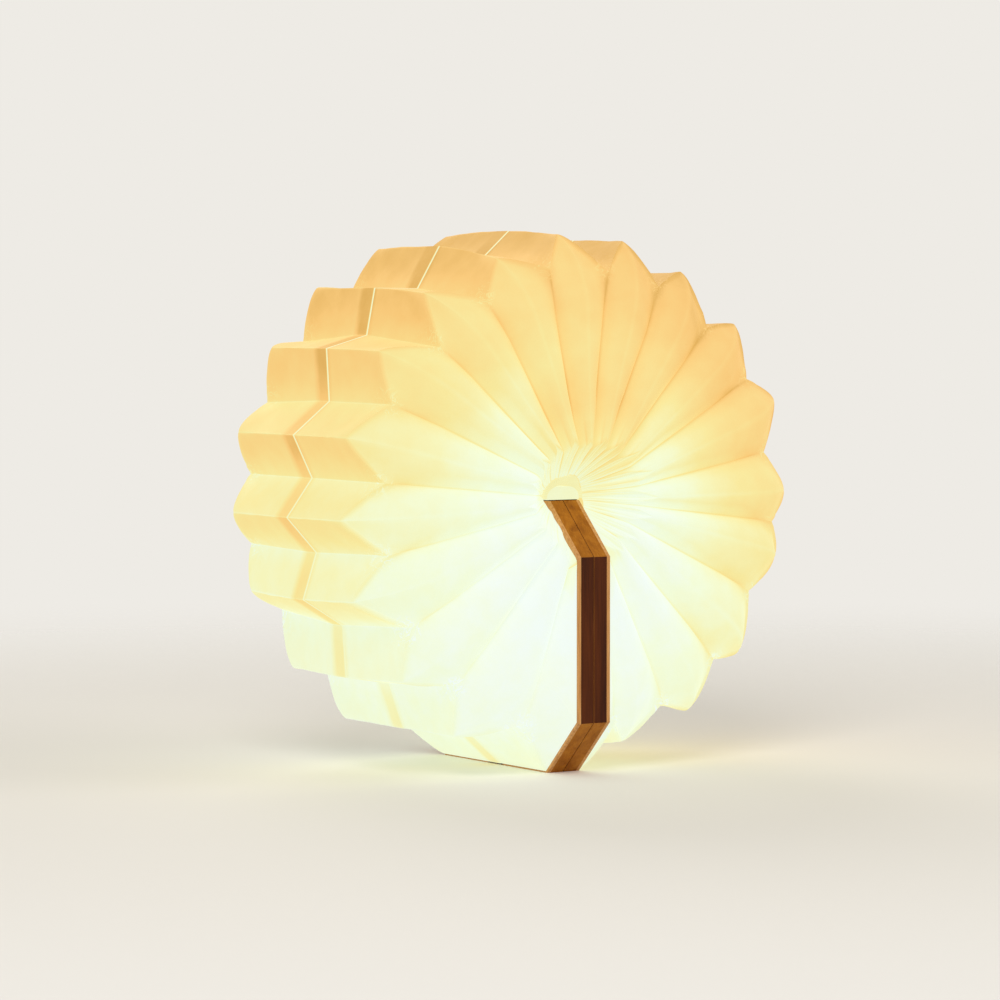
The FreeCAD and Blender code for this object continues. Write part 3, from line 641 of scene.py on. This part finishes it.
def makeWalnut(name):
    # oiled walnut, sawn and sanded: brown faces, cut corners painted paler as lit by the paper's glow, end grain
    # painted darker as shade, fine lines along the grain
    look = walnutLook
    material, tree, shader = newMaterial(name, Roughness=0.55, Specular_IOR_Level=0.12)
    where = addNode(tree, "ShaderNodeTexCoord")
    along = addNode(tree, "ShaderNodeMapping", {"Vector": where.outputs["Object"]}, {"Scale": (1, 1, 0.05)})
    rings = addNode(tree, "ShaderNodeTexNoise", {"Vector": along.outputs["Vector"]},
                    {"Scale": 1 / look["rings"], "Detail": 6.0, "Roughness": 0.6, "Distortion": 0.5})
    along = addNode(tree, "ShaderNodeMapping", {"Vector": where.outputs["Object"]}, {"Scale": (1, 0.5, 0.03)})
    fine = addNode(tree, "ShaderNodeTexNoise", {"Vector": along.outputs["Vector"]},
                   {"Scale": 1 / look["pores"], "Detail": 3.0, "Roughness": 0.6})
    mixed = addNode(tree, "ShaderNodeMath", {0: fine.outputs["Fac"], 2: rings.outputs["Fac"]},
                    {1: 0.35}, operation="MULTIPLY_ADD")
    glowLitCut, face, shadedEnd = [addNode(tree, "ShaderNodeValToRGB", {"Fac": mixed.outputs[0]},
                              stops=look[part]).outputs["Color"] for part in ("glowLitCut", "face", "shadedEnd")]
    # the normal picks the copy: paler painted light on the cut corners, darker painted shade on the end grain
    facing = addNode(tree, "ShaderNodeSeparateXYZ", {"Vector": where.outputs["Normal"]})
    colour = glowLitCut
    for axis, other in (("X", face), ("Y", shadedEnd)):
        amount = addNode(tree, "ShaderNodeMath", {0: facing.outputs[axis]}, operation="ABSOLUTE")
        share = addNode(tree, "ShaderNodeMapRange", {"Value": amount.outputs[0]},
                        {"From Min": 0.72, "From Max": 0.8})
        colour = addNode(tree, "ShaderNodeMix", {0: share.outputs["Result"], 6: colour, 7: other},
                         data_type="RGBA").outputs[2]
    tree.links.new(colour, shader.inputs["Base Color"])
    addNode(tree, "ShaderNodeBump", {"Height": fine.outputs["Fac"]}, {"Strength": 0.7, "Distance": 0.00008},
            into=shader.inputs["Normal"])
    return material


def makeBirch(name):
    # birch board, sanded: pale, warm, with faint flecks along the grain
    material, tree, shader = newMaterial(name, Roughness=0.5, Specular_IOR_Level=0.35)
    where = addNode(tree, "ShaderNodeTexCoord")
    along = addNode(tree, "ShaderNodeMapping", {"Vector": where.outputs["Object"]}, {"Scale": (1, 1, 0.05)})
    grain = addNode(tree, "ShaderNodeTexNoise", {"Vector": along.outputs["Vector"]},
                    {"Scale": 1 / 0.0012, "Detail": 4.0, "Roughness": 0.6})
    addNode(tree, "ShaderNodeValToRGB", {"Fac": grain.outputs["Fac"]}, into=shader.inputs["Base Color"],
            stops=[(0.3, "#b0753c"), (0.55, "#cf9554"), (0.8, "#dcab70")])
    addNode(tree, "ShaderNodeBump", {"Height": grain.outputs["Fac"]}, {"Strength": 0.6, "Distance": 0.00005},
            into=shader.inputs["Normal"])
    return material


def makePlain(name, low, high, size, roughness, bump=0.00003, **sockets):
    # moulded, plated or printed stock: a fine mottle in its colour and its surface
    material, tree, shader = newMaterial(name, **sockets)
    point = addNode(tree, "ShaderNodeTexCoord").outputs["Object"]
    mottle = addNode(tree, "ShaderNodeTexNoise", {"Vector": point},
                     {"Scale": 1 / size, "Detail": 3.0, "Roughness": 0.55})
    addNode(tree, "ShaderNodeValToRGB", {"Fac": mottle.outputs["Fac"]}, stops=[(0.3, low), (0.7, high)],
            into=shader.inputs["Base Color"])
    addNode(tree, "ShaderNodeMapRange", {"Value": mottle.outputs["Fac"]},
            {"To Min": roughness - 0.06, "To Max": roughness + 0.06}, into=shader.inputs["Roughness"])
    addNode(tree, "ShaderNodeBump", {"Height": mottle.outputs["Fac"]}, {"Strength": 0.6, "Distance": bump},
            into=shader.inputs["Normal"])
    return material


def makeCloth(name):
    # woven book cloth: two sets of threads at right angles
    material, tree, shader = newMaterial(name, Roughness=0.85, Sheen_Weight=0.25, Specular_IOR_Level=0.2)
    point = addNode(tree, "ShaderNodeTexCoord").outputs["Object"]
    waves = [addNode(tree, "ShaderNodeTexWave", {"Vector": point}, {"Scale": 1 / 0.0028, "Distortion": 0.6},
                     wave_type="BANDS", bands_direction=direction) for direction in ("X", "Y")]
    weave = addNode(tree, "ShaderNodeMath", {0: waves[0].outputs["Fac"], 1: waves[1].outputs["Fac"]},
                    operation="MULTIPLY")
    addNode(tree, "ShaderNodeValToRGB", {"Fac": weave.outputs[0]}, stops=[(0.0, "#2b1c10"), (1.0, "#5d4028")],
            into=shader.inputs["Base Color"])
    addNode(tree, "ShaderNodeBump", {"Height": weave.outputs[0]}, {"Strength": 0.8, "Distance": 0.0001},
            into=shader.inputs["Normal"])
    return material


slotMaterials = {
    "walnut": makeWalnut("oiledWalnut"),
    "liner_board": makeBirch("sandedBirch"),
    "book_cloth": makeCloth("wovenBookCloth"),
    # cream board, matt and a little cloudy
    "spine_back": makePlain("flexibleSpineBoard", "#ddd2b8", "#ece4d0", 0.004, 0.6),
    # amber film, smooth with a soft shine
    "flat_cable": makePlain("polyimideFlex", "#a06a22", "#c08a3a", 0.003, 0.35, Specular_IOR_Level=0.5),
    # bright plate, faintly warm
    "nickel_plate": makePlain("platedNickel", "#b4b0a6", "#cfcbc2", 0.002, 0.22, Metallic=1.0),
    # cool grey plate, duller than nickel
    "zinc_steel": makePlain("zincPlatedSteel", "#9ea1a4", "#c2c4c6", 0.0015, 0.34, Metallic=1.0),
    # off-white moulding, satin
    "white_nylon": makePlain("mouldedNylon", "#dcdad4", "#ebe9e3", 0.002, 0.5),
    # white lacquer on a circuit board
    "white_board": makePlain("whiteSolderMask", "#e4e1d8", "#f0eee8", 0.002, 0.4),
    # yellow gel and frosted plastic, both lit
    "led": makePlain("phosphorGel", "#ffd870", "#ffe9a0", 0.001, 0.3, Emission_Color=linear("#ffe6b0"),
                     Emission_Strength=0.8),
    "frosted_acrylic": makePlain("frostedAcrylicLit", "#e9e2cc", "#f2ecd8", 0.0008, 0.55,
                                 Emission_Color=linear("#ffe2b0"), Emission_Strength=0.5),
    # green lacquer, slightly glossy
    "green_board": makePlain("greenSolderMask", "#17492a", "#226038", 0.002, 0.35),
    # black moulding with a fine matt skin
    "black_chip": makePlain("mouldedEpoxy", "#141416", "#222226", 0.0008, 0.5),
    # clear and glossy, then grey foil with a fine pressed grain
    "clear_guide": makePlain("polishedPolycarbonate", "#d6e2e8", "#e8f0f4", 0.002, 0.12,
                             Transmission_Weight=0.6, IOR=1.58),
    "battery_foil": makePlain("embossedFoil", "#a9abae", "#c4c6c9", 0.0012, 0.36, bump=0.0001, Metallic=1.0),
}

slotOf = {row["node"]: row["material_slot"] for row in frame["record"]["subparts"]}
for name, node in frame["nodes"].items():
    material = slotMaterials.get(slotOf[name])
    if material:
        node.data.materials.clear()
        node.data.materials.append(material)
makeRibbon(slotMaterials["flat_cable"])
print("materials assigned")


# floor, light and camera

stage = {"floor": "#f4f0e8", "size": 3.0, "solid": 0.45, "gone": 1.5, "sky": "#eeebe5", "daylight": 0.5}


def makeFloor():
    # pale matt board that fades into the background with distance
    bm = bmesh.new()
    bmesh.ops.create_circle(bm, cap_ends=True, segments=96, radius=stage["size"])
    mesh = bpy.data.meshes.new("floor")
    bm.to_mesh(mesh)
    bm.free()
    floor = bpy.data.objects.new("floor", mesh)
    bpy.context.collection.objects.link(floor)
    material, tree, shader = newMaterial("paleFloor", Roughness=0.8, Specular_IOR_Level=0.2,
                                         Base_Color=linear(stage["floor"]))
    point = addNode(tree, "ShaderNodeTexCoord").outputs["Object"]
    reach = addNode(tree, "ShaderNodeVectorMath", {0: point}, operation="LENGTH")
    addNode(tree, "ShaderNodeMapRange", {"Value": reach.outputs["Value"]},
            {"From Min": stage["solid"], "From Max": stage["gone"], "To Min": 1.0, "To Max": 0.0},
            into=shader.inputs["Alpha"], interpolation_type="SMOOTHSTEP")
    mesh.materials.append(material)


def addSoftLight(name, place, size, power):
    data = bpy.data.lights.new(name, "AREA")
    data.shape = "DISK"
    data.size = size
    data.energy = power
    light = bpy.data.objects.new(name, data)
    light.location = place
    light.rotation_euler = (Vector((0, 0, 0.15)) - Vector(place)).to_track_quat("-Z", "Y").to_euler()
    bpy.context.collection.objects.link(light)


def makeWorld():             # the background is pale to the eye, and lights the object less
    world = bpy.data.worlds.new("studio")
    world.use_nodes = True
    tree = world.node_tree
    background = tree.nodes["Background"]
    background.inputs["Color"].default_value = linear(stage["sky"])
    path = addNode(tree, "ShaderNodeLightPath")
    seen = addNode(tree, "ShaderNodeMath", {0: path.outputs["Is Camera Ray"], 1: path.outputs["Is Glossy Ray"]},
                   operation="MAXIMUM")
    seen = addNode(tree, "ShaderNodeMath", {0: seen.outputs[0], 1: path.outputs["Is Transmission Ray"]},
                   operation="MAXIMUM")
    strength = addNode(tree, "ShaderNodeMapRange", {"Value": seen.outputs[0]},
                       {"To Min": stage["daylight"], "To Max": 1.0})
    tree.links.new(strength.outputs["Result"], background.inputs["Strength"])
    bpy.context.scene.world = world


def makeCamera():
    view = {"place": (-1.389, -2.195, 0.290), "target": (-0.0059, 0.0037, 0.1679), "lens": 147}
    data = bpy.data.cameras.new("camera")
    data.lens = view["lens"]
    data.sensor_width = 36
    data.clip_end = 50
    camera = bpy.data.objects.new("camera", data)
    camera.location = view["place"]
    way = Vector(view["target"]) - Vector(view["place"])
    camera.rotation_euler = way.to_track_quat("-Z", "Y").to_euler()
    bpy.context.collection.objects.link(camera)
    bpy.context.scene.camera = camera


makeFloor()
makeWorld()
addSoftLight("keyLight", (-1.6, -1.9, 1.9), 1.4, 34)
addSoftLight("fillLight", (1.8, -1.5, 1.2), 1.6, 14)
addSoftLight("backLight", (0.4, 2.1, 1.8), 1.6, 16)
makeCamera()
bpy.context.scene.view_settings.view_transform = "Standard"
print("stage set")
